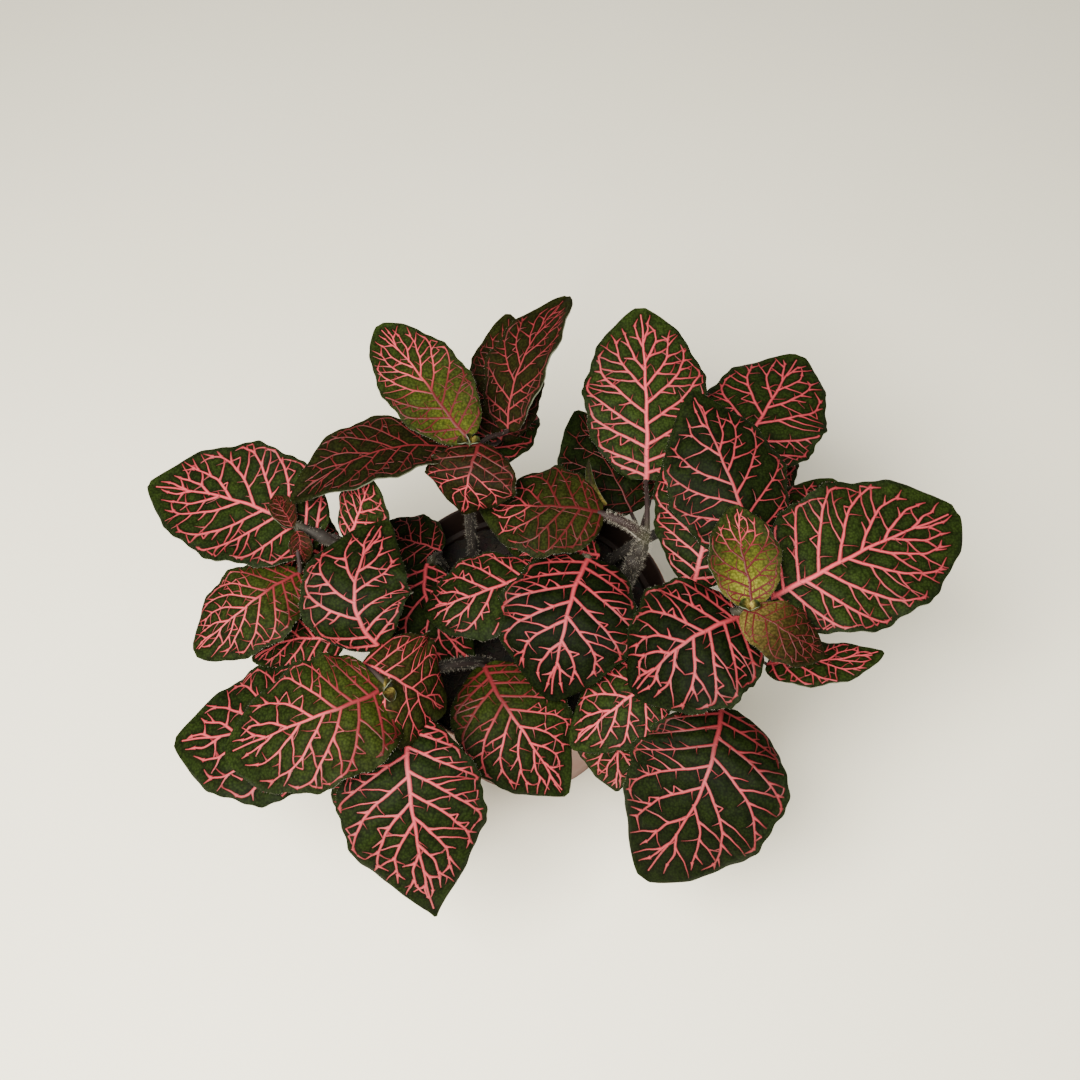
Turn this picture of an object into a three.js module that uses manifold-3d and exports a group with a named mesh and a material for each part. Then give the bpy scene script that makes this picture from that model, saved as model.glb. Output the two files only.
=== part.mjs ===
// A nerve plant in a plastic nursery pot: pot, soil, and nine leafy stems that stand in holes in the soil.
// Units are millimetres, +Z is up, and the origin is the centre of the pot's flat underside.
import * as THREE from "three";
import { mergeVertices } from "three/addons/utils/BufferGeometryUtils.js";
import Module from "manifold-3d";

// Pot
const potHeight = 80;
const rimRadius = 52.5;
const baseRadius = 36;
const potWall = 1.4;
const potFloor = 1.8;
const rimBand = 11;
const rimStep = 1.3;
const potSides = 36;
const drainHoles = 8;
const drainRadius = 4;
const drainRing = 25;

// Soil
const soilLevel = 70;
const soilRelief = 1;
const soilRings = 7;
const gap = 0.3;

// Stems and leaf stalks
const stemRadius = 2.1;
const stemSides = 6;
const stemSteps = 8;
const stemDepth = 16;
const stalkRadius = 1.25;
const stalkSides = 5;
const stalkSteps = 4;

// Leaf blades
const bladeThickness = 0.8;
const bladeCells = 4;
const bladeStep = 8;
const waveHeight = 0.028;
const waveCount = 3.4;
const bladeStart = 0.012;
const bladeEnd = 0.988;

// The viewpoint that each leaf is placed from: a point is given by its place in a square picture
// and by its height above the table.
const viewPitch = THREE.MathUtils.degToRad(57);
const viewPlace = new THREE.Vector3(5, -212, 455);
const viewFocal = 1200;
const viewCentre = 540;

const colours = {
  pot: 0x966e70,
  soil: 0x2a2019,
  leaf: 0x34502a,
};

// Each shoot has the place of its foot in the soil, and its growing tip.
// Each leaf has a name, how far up the shoot it grows, the places of its base, middle and tip,
// its width, its roll about the midrib and the twist of that roll in degrees,
// how far its sides bend up or down in radians, and how pointed its end is.
const shoots = [
  {
    name: "stem_back_left",
    foot: [-20, 29],
    tip: [462, 441, 130],
    leaves: [
      ["a1", 0.98, [469, 440, 130], [424, 382, 137], [379, 325, 139], 30, 8, 0, 0.15, 0.6],
      ["a2", 0.8, [508, 432, 118], [524, 358, 134], [569, 297, 138], 31, 30, 0, 0.3, 0.65],
      ["a3", 0.7, [500, 442, 108], [505, 380, 120], [508, 314, 122], 28, 0, 0, -0.2, 0.7],
      ["a4", 0.84, [454, 449, 122], [370, 454, 128], [291, 503, 122], 33, -12, 0, 0.25, 0.8],
      ["a5", 0.96, [478, 444, 130], [467, 482, 127], [465, 514, 112], 33, 0, 0, -0.35, 0.8],
      ["a6", 0.5, [486, 462, 100], [500, 420, 98], [506, 375, 90], 30, 0, 0, -0.25, 0.8],
    ],
  },
  {
    name: "stem_back_middle",
    foot: [34, 8],
    tip: [648, 536, 110],
    leaves: [
      ["c1", 0.97, [646, 482, 109], [646, 392, 122], [640, 308, 129], 45, 0, 0, -0.2, 0.62],
      ["b1", 0.97, [604, 514, 115], [545, 506, 117], [480, 508, 106], 38, 0, 0, -0.25, 0.8],
      ["c2", 0.8, [632, 514, 98], [608, 465, 104], [576, 411, 100], 36, 0, 0, -0.2, 0.8],
      ["c7", 0.55, [650, 500, 88], [652, 460, 88], [646, 415, 80], 32, 0, 0, -0.25, 0.8],
    ],
  },
  {
    name: "stem_back_right",
    foot: [30, 24],
    tip: [748, 500, 112],
    leaves: [
      ["c3", 0.95, [738, 472, 107], [765, 410, 113], [801, 357, 105], 46, 0, 0, -0.2, 0.6],
      ["d6", 0.9, [776, 560, 97], [803, 517, 102], [835, 480, 96], 28, 0, 0, -0.2, 0.7],
      ["c8", 0.6, [730, 510, 92], [754, 464, 92], [776, 420, 84], 34, 0, 0, -0.25, 0.8],
    ],
  },
  {
    name: "stem_right",
    foot: [38, -12],
    tip: [744, 611, 131],
    leaves: [
      ["d2", 0.99, [751, 607, 132], [744, 556, 139], [735, 505, 143], 23, 0, 0, 0.2, 0.7],
      ["d3", 0.99, [742, 610, 132], [786, 631, 134], [821, 664, 124], 18, 0, 0, -0.3, 0.7],
      ["d1", 0.86, [768, 599, 121], [860, 553, 128], [956, 511, 121], 51, -8, 0, 0.12, 0.6],
      ["d5", 0.93, [747, 614, 126], [689, 641, 129], [632, 693, 112], 47, 0, 0, -0.3, 0.6],
      ["c4", 0.72, [760, 561, 122], [729, 474, 138], [691, 391, 143], 43, 5, 0, -0.6, 0.8],
      ["c5", 0.62, [692, 586, 108], [705, 500, 125], [688, 398, 131], 36, 14, 0, -0.3, 0.8],
      ["d4", 0.6, [766, 664, 104], [822, 661, 110], [884, 652, 110], 20, 20, 0, -0.2, 0.8],
      ["d8", 0.45, [780, 600, 92], [826, 576, 91], [872, 560, 82], 32, 0, 0, -0.25, 0.7],
    ],
  },
  {
    name: "stem_front_right",
    foot: [14, -28],
    tip: [690, 672, 104],
    leaves: [
      ["d7", 0.95, [722, 706, 100], [701, 789, 97], [643, 878, 60], 52, 0, 0, -0.3, 0.6],
      ["e5", 0.9, [668, 680, 99], [622, 702, 99], [571, 748, 86], 31, 0, 0, -0.3, 0.7],
      ["e6", 0.6, [610, 690, 88], [616, 742, 85], [617, 791, 63], 26, 0, 0, -0.3, 0.8],
    ],
  },
  {
    name: "stem_middle",
    foot: [2, 2],
    tip: [592, 554, 118],
    leaves: [
      ["e1", 0.98, [590, 557, 110], [565, 622, 113], [552, 701, 93], 47, 0, 0, -0.3, 0.7],
      ["e2", 0.8, [545, 572, 106], [482, 592, 109], [424, 613, 102], 33, 0, 0, -0.3, 0.7],
      ["e8", 0.6, [600, 556, 102], [560, 548, 104], [506, 545, 98], 24, 0, 0, -0.2, 0.8],
    ],
  },
  {
    name: "stem_middle_left",
    foot: [-31, 21],
    tip: [430, 562, 98],
    leaves: [
      ["e3", 0.9, [428, 563, 98], [432, 615, 97], [475, 661, 84], 28, 0, 0, -0.2, 0.8],
      ["e4", 0.95, [442, 552, 91], [408, 540, 90], [372, 528, 85], 26, 0, 0, -0.2, 0.8],
    ],
  },
  {
    name: "stem_front_left",
    foot: [-12, -18],
    tip: [386, 688, 122],
    leaves: [
      ["f4", 0.98, [384, 689, 120], [315, 720, 123], [225, 753, 108], 40, 0, 0, -0.25, 0.55],
      ["f5", 0.98, [387, 688, 122], [421, 693, 117], [442, 708, 98], 36, 0, 0, -0.35, 0.8],
      ["f1", 0.84, [381, 648, 114], [354, 589, 128], [388, 521, 127], 36, 0, 0, -0.25, 0.7],
      ["f6", 0.8, [407, 714, 108], [413, 816, 101], [436, 916, 64], 46, 0, 0, -0.25, 1.1],
      ["f2", 0.66, [352, 710, 98], [264, 729, 104], [175, 742, 94], 48, 0, 0, -0.25, 0.7],
      ["e7", 0.5, [484, 664, 91], [518, 726, 93], [567, 795, 73], 41, 0, 0, -0.3, 0.8],
      ["f7", 0.5, [388, 735, 84], [362, 790, 78], [360, 842, 58], 24, 0, 0, -0.3, 0.8],
    ],
  },
  {
    name: "stem_left",
    foot: [-32, 4],
    tip: [290, 522, 118],
    leaves: [
      ["g1", 0.78, [324, 536, 111], [241, 503, 117], [149, 485, 107], 46, 8, 0, 0.2, 0.75],
      ["g2", 0.94, [301, 573, 109], [248, 605, 112], [195, 654, 101], 33, 0, 0, -0.25, 0.6],
      ["g3", 0.99, [292, 528, 118], [282, 508, 119], [274, 496, 118], 9, 0, 0, 0.3, 0.9],
      ["g5", 0.99, [297, 531, 117], [301, 548, 115], [304, 563, 108], 8, 0, 0, 0.3, 0.9],
      ["g4", 0.74, [348, 542, 107], [361, 508, 118], [371, 478, 131], 22, 30, 0, -0.5, 0.8],
      ["h1", 0.5, [345, 642, 92], [296, 640, 95], [252, 660, 88], 26, 0, 0, -0.2, 0.8],
      ["g6", 0.45, [336, 560, 92], [290, 540, 92], [240, 520, 82], 32, 0, 0, -0.25, 0.8],
    ],
  },
];

const wasm = await Module();
wasm.setup();

// A closed geometry as a solid.
function solidOf(geometry) {
  const bare = geometry.index ? geometry.toNonIndexed() : geometry.clone();
  bare.deleteAttribute("normal");
  bare.deleteAttribute("uv");
  const merged = mergeVertices(bare, 1e-3);
  return new wasm.Manifold(
    new wasm.Mesh({
      numProp: 3,
      vertProperties: merged.attributes.position.array,
      triVerts: new Uint32Array(merged.index.array),
    }),
  );
}

// A solid as a geometry with flat faces.
function geometryOf(solid) {
  const mesh = solid.getMesh();
  const geometry = new THREE.BufferGeometry();
  geometry.setAttribute("position", new THREE.BufferAttribute(mesh.vertProperties, 3));
  geometry.setIndex(new THREE.BufferAttribute(mesh.triVerts, 1));
  const flat = geometry.toNonIndexed();
  flat.computeVertexNormals();
  return flat;
}

function named(name, geometry, colour, roughness) {
  const material = new THREE.MeshStandardMaterial({ color: colour, roughness, metalness: 0 });
  const mesh = new THREE.Mesh(geometry, material);
  mesh.name = name;
  return mesh;
}

// The point at a place in the picture and a height above the table.
function placed([across, down, height]) {
  const ray = new THREE.Vector3(
    (across - viewCentre) / viewFocal,
    Math.cos(viewPitch) + (Math.sin(viewPitch) * (viewCentre - down)) / viewFocal,
    -Math.sin(viewPitch) + (Math.cos(viewPitch) * (viewCentre - down)) / viewFocal,
  );
  return viewPlace.clone().addScaledVector(ray, (height - viewPlace.z) / ray.z);
}

// The inner radius of the pot's wall at a height.
function innerRadius(height) {
  const slope = (rimRadius - rimStep - baseRadius) / potHeight;
  const step = height > potHeight - rimBand ? rimStep : 0;
  return baseRadius + slope * height + step - potWall;
}

function lathe(profile, sides) {
  const points = profile.map(([radius, height]) => new THREE.Vector2(radius, height));
  const geometry = new THREE.LatheGeometry(points, sides);
  geometry.rotateX(Math.PI / 2);
  return geometry;
}

function upright(radius, height, sides, x, y, bottom) {
  const geometry = new THREE.CylinderGeometry(radius, radius, height, sides);
  geometry.rotateX(Math.PI / 2);
  geometry.translate(x, y, bottom + height / 2);
  return geometry;
}

// A tapered shell with a stepped band under its rim and a ring of drain holes in its floor.
function potSolid() {
  const step = potHeight - rimBand;
  const outer = (height) => innerRadius(height) + potWall;
  let pot = solidOf(
    lathe(
      [
        [0, 0],
        [baseRadius - 1.2, 0],
        [baseRadius, 1.2],
        [outer(step) - 0.1, step - 1],
        [outer(step + 1), step + 0.4],
        [rimRadius, potHeight - 0.8],
        [rimRadius - potWall / 2, potHeight],
        [rimRadius - potWall, potHeight - 0.6],
        [innerRadius(step + 1), step + 1],
        [innerRadius(step), step - 1],
        [innerRadius(potFloor), potFloor],
        [0, potFloor],
      ],
      potSides,
    ),
  );
  for (let i = 0; i < drainHoles; i += 1) {
    const angle = ((i + 0.5) * 2 * Math.PI) / drainHoles;
    const x = drainRing * Math.cos(angle);
    const y = drainRing * Math.sin(angle);
    pot = pot.subtract(solidOf(upright(drainRadius, potFloor + 2, 10, x, y, -1)));
  }
  return pot;
}

// The crumbly top of the soil, as a height over each place.
function soilHeight(x, y) {
  const lumps = Math.sin(x * 0.31 + 1.3) * Math.cos(y * 0.27 - 0.4) + 0.6 * Math.sin(x * 0.17 - y * 0.41);
  return soilLevel + soilRelief * lumps - 0.0008 * (x * x + y * y);
}

// A plug that fills the pot, with a plain hole for each stem.
function soilSolid() {
  const top = [];
  for (let i = 0; i <= soilRings; i += 1) {
    top.push([((soilRings - i) / soilRings) * (innerRadius(soilLevel - 3) - gap), soilLevel]);
  }
  const floor = potFloor + gap;
  const geometry = lathe([[0, floor], [innerRadius(floor) - gap, floor], ...top], potSides);
  const place = geometry.attributes.position;
  for (let i = 0; i < place.count; i += 1) {
    if (place.getZ(i) > soilLevel - 1) place.setZ(i, soilHeight(place.getX(i), place.getY(i)));
  }
  let soil = solidOf(geometry);
  for (const { foot } of shoots) {
    const bottom = soilLevel - stemDepth - gap;
    const hole = upright(stemRadius + 2 * gap, stemDepth + 12, 8, foot[0], foot[1], bottom);
    soil = soil.subtract(solidOf(hole));
  }
  return soil;
}

// A tube of few sides along a curve.
function tube(curve, radius, sides, steps) {
  const ring = new THREE.Shape();
  for (let i = 0; i < sides; i += 1) {
    const angle = (i * 2 * Math.PI) / sides;
    const x = radius * Math.cos(angle);
    const y = radius * Math.sin(angle);
    if (i === 0) ring.moveTo(x, y);
    else ring.lineTo(x, y);
  }
  ring.closePath();
  return new THREE.ExtrudeGeometry(ring, { steps, bevelEnabled: false, extrudePath: curve });
}

// A stem rises straight out of the soil and leans over to its tip.
function stemCurve({ foot, tip }) {
  const end = placed(tip);
  const start = new THREE.Vector3(foot[0], foot[1], soilLevel - stemDepth);
  const ground = new THREE.Vector3(foot[0], foot[1], soilLevel + 6);
  const lean = start.clone().lerp(end, 0.35);
  lean.z = (soilLevel + end.z) / 2 + 8;
  const path = new THREE.CurvePath();
  path.add(new THREE.LineCurve3(start, ground));
  path.add(new THREE.QuadraticBezierCurve3(ground, lean, end));
  return path;
}

// The surface of a leaf: along runs from its base to its end, across from -1 to 1.
function leafSurface([, , base, middle, tip, width, roll, twist, cup, point], seed) {
  const b = placed(base);
  const m = placed(middle);
  const t = placed(tip);
  const chord = t.clone().sub(b).normalize();
  const level = new THREE.Vector3(chord.y, -chord.x, 0).normalize();
  const upward = level.clone().cross(chord);
  const midrib = (s) =>
    new THREE.Vector3()
      .addScaledVector(b, (1 - s) * (1 - 2 * s))
      .addScaledVector(m, 4 * s * (1 - s))
      .addScaledVector(t, s * (2 * s - 1));
  const direction = (s) =>
    new THREE.Vector3()
      .addScaledVector(b, 4 * s - 3)
      .addScaledVector(m, 4 - 8 * s)
      .addScaledVector(t, 4 * s - 1)
      .normalize();
  const outline = (s) => Math.sin(Math.PI * s ** 0.93) ** (0.5 + (point - 0.5) * s);
  const surface = (s, u) => {
    const along = direction(s);
    const turn = THREE.MathUtils.degToRad(roll + twist * (s - 0.5));
    const side = level.clone().multiplyScalar(Math.cos(turn)).addScaledVector(upward, Math.sin(turn));
    side.addScaledVector(along, -along.dot(side)).normalize();
    const normal = side.clone().cross(along);
    const phase = 2 * Math.PI * waveCount * s + seed + (u > 0 ? 0 : 1.9);
    const half = (width / 2) * outline(s) * (1 + 0.03 * Math.sin(phase) * u * u);
    const bend = cup * u;
    const out = Math.abs(bend) < 1e-6 ? u : Math.sin(bend) / cup;
    const lift = Math.abs(bend) < 1e-6 ? 0 : (1 - Math.cos(bend)) / cup;
    const wave = waveHeight * Math.abs(u) ** 3 * Math.cos(phase) * outline(s);
    return midrib(s)
      .addScaledVector(side, half * out)
      .addScaledVector(normal, half * lift + width * wave);
  };
  return { midrib, surface, length: b.distanceTo(m) + m.distanceTo(t) };
}

// A blade with the same split of its cells into triangles on both faces.
function bladeGeometry({ surface, length }) {
  const steps = THREE.MathUtils.clamp(Math.round(length / bladeStep), 5, 11);
  const columns = bladeCells + 1;
  const top = [];
  const bottom = [];
  const nudge = 0.004;
  for (let i = 0; i <= steps; i += 1) {
    const s = bladeStart + ((bladeEnd - bladeStart) * i) / steps;
    for (let j = 0; j < columns; j += 1) {
      const u = -1 + (2 * j) / bladeCells;
      const alongStep = surface(s + nudge, u).sub(surface(s - nudge, u));
      const acrossStep = surface(s, u + nudge).sub(surface(s, u - nudge));
      const normal = acrossStep.cross(alongStep).normalize();
      const point = surface(s, u);
      top.push(point.clone().addScaledVector(normal, bladeThickness / 2));
      bottom.push(point.addScaledVector(normal, -bladeThickness / 2));
    }
  }
  const points = [...top, ...bottom];
  const under = top.length;
  const faces = [];
  const quad = (a, b, c, d) => faces.push(a, b, c, a, c, d);
  for (let i = 0; i < steps; i += 1) {
    for (let j = 0; j < bladeCells; j += 1) {
      const a = i * columns + j;
      const [b, c, d] = [a + 1, a + columns + 1, a + columns];
      faces.push(a, b, c, a, c, d);
      faces.push(under + a, under + c, under + b, under + a, under + d, under + c);
    }
    const left = i * columns;
    const right = left + bladeCells;
    quad(left, left + columns, under + left + columns, under + left);
    quad(right, under + right, under + right + columns, right + columns);
  }
  const last = steps * columns;
  for (let j = 0; j < bladeCells; j += 1) {
    quad(j, under + j, under + j + 1, j + 1);
    quad(last + j, last + j + 1, under + last + j + 1, under + last + j);
  }
  const geometry = new THREE.BufferGeometry();
  geometry.setAttribute(
    "position",
    new THREE.Float32BufferAttribute(
      points.flatMap((p) => p.toArray()),
      3,
    ),
  );
  geometry.setIndex(faces);
  return geometry;
}

// The stalk of a leaf runs from inside the stem into the underside of the blade.
function stalkCurve(stem, along, { midrib }) {
  const root = stem.getPoint(0.5 + along / 2);
  const base = midrib(0.02);
  const sag = root.clone().lerp(base, 0.5);
  sag.z += 0.12 * root.distanceTo(base);
  return new THREE.CatmullRomCurve3([root, sag, base, midrib(0.22)]);
}

function shootSolid(shoot, number) {
  const stem = stemCurve(shoot);
  let solid = solidOf(tube(stem, stemRadius, stemSides, stemSteps));
  shoot.leaves.forEach((leaf, i) => {
    const shape = leafSurface(leaf, 1.7 * i + number);
    const stalk = tube(stalkCurve(stem, leaf[1], shape), stalkRadius, stalkSides, stalkSteps);
    solid = solid.add(solidOf(stalk)).add(solidOf(bladeGeometry(shape)));
  });
  const bodies = solid.decompose();
  return bodies.reduce((most, body) => (body.volume() > most.volume() ? body : most));
}

const plant = new THREE.Group();
plant.add(named("pot", geometryOf(potSolid()), colours.pot, 0.55));
plant.add(named("soil", geometryOf(soilSolid()), colours.soil, 0.95));
shoots.forEach((shoot, i) => {
  plant.add(named(shoot.name, geometryOf(shootSolid(shoot, i)), colours.leaf, 0.6));
});

export default plant;
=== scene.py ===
import math
import random

import bpy
import numpy as np
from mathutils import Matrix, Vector


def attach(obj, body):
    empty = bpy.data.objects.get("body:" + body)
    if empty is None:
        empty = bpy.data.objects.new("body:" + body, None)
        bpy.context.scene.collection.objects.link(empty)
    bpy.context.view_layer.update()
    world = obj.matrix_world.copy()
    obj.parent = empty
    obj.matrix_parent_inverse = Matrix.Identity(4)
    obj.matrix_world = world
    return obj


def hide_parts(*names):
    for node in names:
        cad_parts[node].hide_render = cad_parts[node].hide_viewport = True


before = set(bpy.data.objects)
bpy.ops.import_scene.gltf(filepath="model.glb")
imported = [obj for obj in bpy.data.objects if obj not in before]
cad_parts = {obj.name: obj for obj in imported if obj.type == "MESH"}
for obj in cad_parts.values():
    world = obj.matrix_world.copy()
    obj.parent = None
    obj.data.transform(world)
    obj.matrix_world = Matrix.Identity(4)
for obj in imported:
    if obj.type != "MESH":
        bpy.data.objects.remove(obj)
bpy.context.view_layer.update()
millimetre = 0.001  # sizes below are in millimetres, unless a note says otherwise
print("frame loaded")


# Small helpers

def hexColour(code):
    channels = [int(code[i:i + 2], 16) / 255 for i in (0, 2, 4)]
    linear = [c / 12.92 if c <= 0.04045 else ((c + 0.055) / 1.055) ** 2.4 for c in channels]
    return (*linear, 1)


# A source is an output, or a node whose first output is meant. A text given to an input is a colour.
def linkUp(tree, node, links):
    for name, source in links.items():
        tree.links.new(source.outputs[0] if hasattr(source, "outputs") else source, node.inputs[name])


def addNode(tree, kind, settings=(), links=()):
    node = tree.nodes.new("ShaderNode" + kind)
    for name, value in dict(settings).items():
        if hasattr(node, name):
            setattr(node, name, value)
        else:
            node.inputs[name].default_value = hexColour(value) if isinstance(value, str) else value
    linkUp(tree, node, dict(links))
    return node


# A material with its surface shader, its place in the object's own space and the mesh values that it reads.
def newMaterial(name, surface, values=()):
    material = bpy.data.materials.new(name)
    material.use_nodes = True
    tree = material.node_tree
    tree.nodes.clear()
    place = {"Vector": addNode(tree, "TexCoord").outputs["Object"]}
    shader = addNode(tree, "BsdfPrincipled", surface)
    addNode(tree, "OutputMaterial", {}, {"Surface": shader})
    read = {}
    for key in values:
        read[key] = addNode(tree, "Attribute", {"attribute_name": key}).outputs["Fac"]
    return material, tree, place, shader, read


def deselectAll():
    if bpy.context.mode != "OBJECT":
        bpy.ops.object.mode_set(mode="OBJECT")
    bpy.ops.object.select_all(action="DESELECT")


def selectOnly(piece):
    deselectAll()
    piece.select_set(True)
    bpy.context.view_layer.objects.active = piece


def applyModifiers(piece):
    selectOnly(piece)
    for modifier in list(piece.modifiers):
        bpy.ops.object.modifier_apply(modifier=modifier.name)


def joinPieces(pieces, name):
    deselectAll()
    for piece in pieces:
        piece.select_set(True)
    bpy.context.view_layer.objects.active = pieces[0]
    bpy.ops.object.join()
    pieces[0].name = name
    pieces[0].data.name = name
    return pieces[0]


def linkPiece(name, data):
    piece = bpy.data.objects.new(name, data)
    bpy.context.scene.collection.objects.link(piece)
    return piece


def setValues(piece, key, numbers):
    layer = piece.data.attributes.new(key, "FLOAT", "POINT")
    layer.data.foreach_set("value", np.asarray(numbers, np.float32))


def meshPiece(name, points, faces, values=()):
    mesh = bpy.data.meshes.new(name)
    mesh.from_pydata([tuple(p) for p in points], [], faces)
    piece = linkPiece(name, mesh)
    for key, numbers in dict(values).items():
        setValues(piece, key, numbers)
    return piece


def meshPlaces(mesh):
    places = np.zeros(len(mesh.vertices) * 3, np.float32)
    mesh.vertices.foreach_get("co", places)
    return places.reshape(-1, 3)


def smooth(piece, degrees=None):
    selectOnly(piece)
    if degrees is None:
        bpy.ops.object.shade_smooth()
    else:
        bpy.ops.object.shade_smooth_by_angle(angle=math.radians(degrees))


# A piece without a material here already has its own.
def finishPiece(piece, material, nodes=()):
    if material:
        piece.data.materials.clear()
        piece.data.materials.append(material)
    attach(piece, "root")
    if nodes:
        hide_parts(*nodes)


def unit(vectors):
    return vectors / np.maximum(np.linalg.norm(vectors, axis=-1, keepdims=True), 1e-12)


# Materials, with the size of each pattern in metres

# Moulded polypropylene nursery pot: satin, slightly chalky, with faint flow marks; inside it is darkened
# nearly to black, a film of soil together with painted shade.
def makePotPlastic():
    material, tree, place, shader, read = newMaterial(
        "moulded_polypropylene", {"IOR": 1.49, "Specular IOR Level": 0.2}, ["soilAndShade"])
    flow = addNode(tree, "TexNoise", {"Scale": 1 / 0.012, "Detail": 3.0}, place)
    grain = addNode(tree, "TexNoise", {"Scale": 1 / 0.0006, "Detail": 2.0}, place)
    colour = addNode(tree, "MixRGB", {"Color1": "6a3f37", "Color2": "784d44"}, {"Fac": flow})
    # Painted shade with a film of soil: near black inside the pot and on the rim top.
    filmAndShade = addNode(tree, "MixRGB", {"Color2": "0f0b08"}, {"Color1": colour, "Fac": read["soilAndShade"]})
    bump = addNode(tree, "Bump", {"Strength": 0.15, "Distance": 0.0002}, {"Height": grain})
    rough = addNode(tree, "MapRange", {"To Min": 0.42, "To Max": 0.6}, {"Value": flow})
    linkUp(tree, shader, {"Base Color": filmAndShade, "Roughness": rough, "Normal": bump})
    return material


# Moist peat: nearly black, with brown crumbs and a dull broken surface.
def makePeat():
    material, tree, place, shader, read = newMaterial("moist_peat", {"Roughness": 0.92, "IOR": 1.4})
    crumbs = addNode(tree, "TexVoronoi", {"Scale": 1 / 0.0022}, place)
    dust = addNode(tree, "TexNoise", {"Scale": 1 / 0.0009, "Detail": 5.0}, place)
    colour = addNode(tree, "MixRGB", {"Color1": "0b0806", "Color2": "221811"}, {"Fac": dust})
    shade = addNode(tree, "MixRGB", {"blend_type": "MULTIPLY", "Fac": 0.6},
                    {"Color1": colour, "Color2": crumbs.outputs["Color"]})
    bump = addNode(tree, "Bump", {"Strength": 0.8, "Distance": 0.0006}, {"Height": dust})
    linkUp(tree, shader, {"Base Color": shade, "Normal": bump})
    return material


# The blade's own two greens, which lie in patches, and the colours laid over them in this order.
# A layer without a colour makes what is under it darker or brighter.
leafGreens = ("131c09", "26330f")
# Of these layers, nearVein is painted shade, dark red brown, in the valleys beside the veins, and the layer
# after it darkens whole leaves: painted shade on leaves that lie in shade, partly their own darker green.
leafLayers = {
    "nearVein": "0e0704", "shadeAndTone": None, "margin": "141b0b", "young": "666a1c",
    "brown": "221006", "pale": "7d7038", "grain": None, "under": "5b6642",
}


# Living leaf: a waxy skin over dark green tissue, quilted between its veins and felted with tiny cells,
# which are drawn coarser than real so that they show.
def makeLeafBlade():
    material, tree, place, shader, read = newMaterial(
        "waxy_leaf_blade", {"Roughness": 0.6, "IOR": 1.42, "Specular IOR Level": 0.04},
        [key for key in leafLayers if key != "grain"])
    patches = addNode(tree, "TexNoise", {"Scale": 1 / 0.007, "Detail": 4.0, "Roughness": 0.65}, place)
    cells = addNode(tree, "TexVoronoi", {"Scale": 1 / 0.0008}, place)
    spread = addNode(tree, "MapRange", {"From Min": 0.22, "From Max": 0.78}, {"Value": patches})
    grain = addNode(tree, "MapRange", {"From Max": 0.8, "To Min": 1.6, "To Max": 0.5}, {"Value": cells})
    read["grain"] = grain
    layer = addNode(tree, "MixRGB", {"Color1": leafGreens[0], "Color2": leafGreens[1]}, {"Fac": spread})
    # Besides the leaf's own colours, these layers paint shade in the vein valleys and over whole shaded
    # leaves.
    for key, colour in leafLayers.items():
        below = layer
        if colour:
            layer = addNode(tree, "MixRGB", {"Color2": colour}, {"Color1": below, "Fac": read[key]})
        else:
            layer = addNode(tree, "MixRGB", {"blend_type": "MULTIPLY", "Fac": 1.0},
                            {"Color1": below, "Color2": read[key]})
    bump = addNode(tree, "Bump", {"Strength": 0.3, "Distance": 0.00012, "invert": True}, {"Height": cells})
    linkUp(tree, shader, {"Base Color": layer, "Normal": bump})
    return material


# red is a young leaf's own dark red, and also painted shade on veins that lie in shade.
veinColours = {"core": "c44550", "edge": "34080b", "red": "420a0b", "under": "8c5048"}


# Veins without green: pink sap-filled ribs, dark red where the leaf is young, and drawn dark red as painted
# shade where a leaf or its base lies in shade.
def makeVeins():
    material, tree, place, shader, read = newMaterial(
        "pink_leaf_vein", {"Roughness": 0.55, "IOR": 1.4, "Specular IOR Level": 0.3},
        ["core", "red", "under"])
    cells = addNode(tree, "TexNoise", {"Scale": 1 / 0.0012, "Detail": 3.0}, place)
    mottle = addNode(tree, "MapRange", {"To Min": 0.72, "To Max": 1.18}, {"Value": cells})
    pink = addNode(tree, "MixRGB", {"Color1": veinColours["edge"], "Color2": veinColours["core"]},
                   {"Fac": read["core"]})
    aged = addNode(tree, "MixRGB", {"Color2": veinColours["red"]}, {"Color1": pink, "Fac": read["red"]})
    toned = addNode(tree, "MixRGB", {"blend_type": "MULTIPLY", "Fac": 1.0},
                    {"Color1": aged, "Color2": mottle})
    both = addNode(tree, "MixRGB", {"Color2": veinColours["under"]},
                   {"Color1": toned, "Fac": read["under"]})
    linkUp(tree, shader, {"Base Color": both})
    return material


# Young bark of a soft stem: grey brown, flushed red brown on the stalks, green at the tip, streaked.
def makeStemSkin():
    material, tree, place, shader, read = newMaterial(
        "felted_stem_skin", {"Roughness": 0.75, "IOR": 1.4}, ["fresh", "flush"])
    streaks = addNode(tree, "TexNoise", {"Scale": 1 / 0.0014, "Detail": 4.0}, place)
    bark = addNode(tree, "MixRGB", {"Color1": "0e0a08", "Color2": "221d18"}, {"Fac": streaks})
    ruddy = addNode(tree, "MixRGB", {"Color2": "1c0c0a"}, {"Color1": bark, "Fac": read["flush"]})
    green = addNode(tree, "MixRGB", {"Color2": "5f6428"}, {"Color1": ruddy, "Fac": read["fresh"]})
    bump = addNode(tree, "Bump", {"Strength": 0.5, "Distance": 0.0003}, {"Height": streaks})
    linkUp(tree, shader, {"Base Color": green, "Normal": bump})
    return material


# Plain matt stuff that wavers between two colours.
def makeMottled(name, roughness, size, colours):
    material, tree, place, shader, read = newMaterial(name, {"Roughness": roughness})
    cloud = addNode(tree, "TexNoise", {"Scale": 1 / size}, place)
    colour = addNode(tree, "MixRGB", {"Color1": colours[0], "Color2": colours[1]}, {"Fac": cloud})
    linkUp(tree, shader, {"Base Color": colour})
    return material


# Plant hair is dry and pale, so it reads as grey fuzz.
plantHair = makeMottled("plant_hair", 0.6, 0.002, ("6c675c", "a09a8c"))

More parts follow.
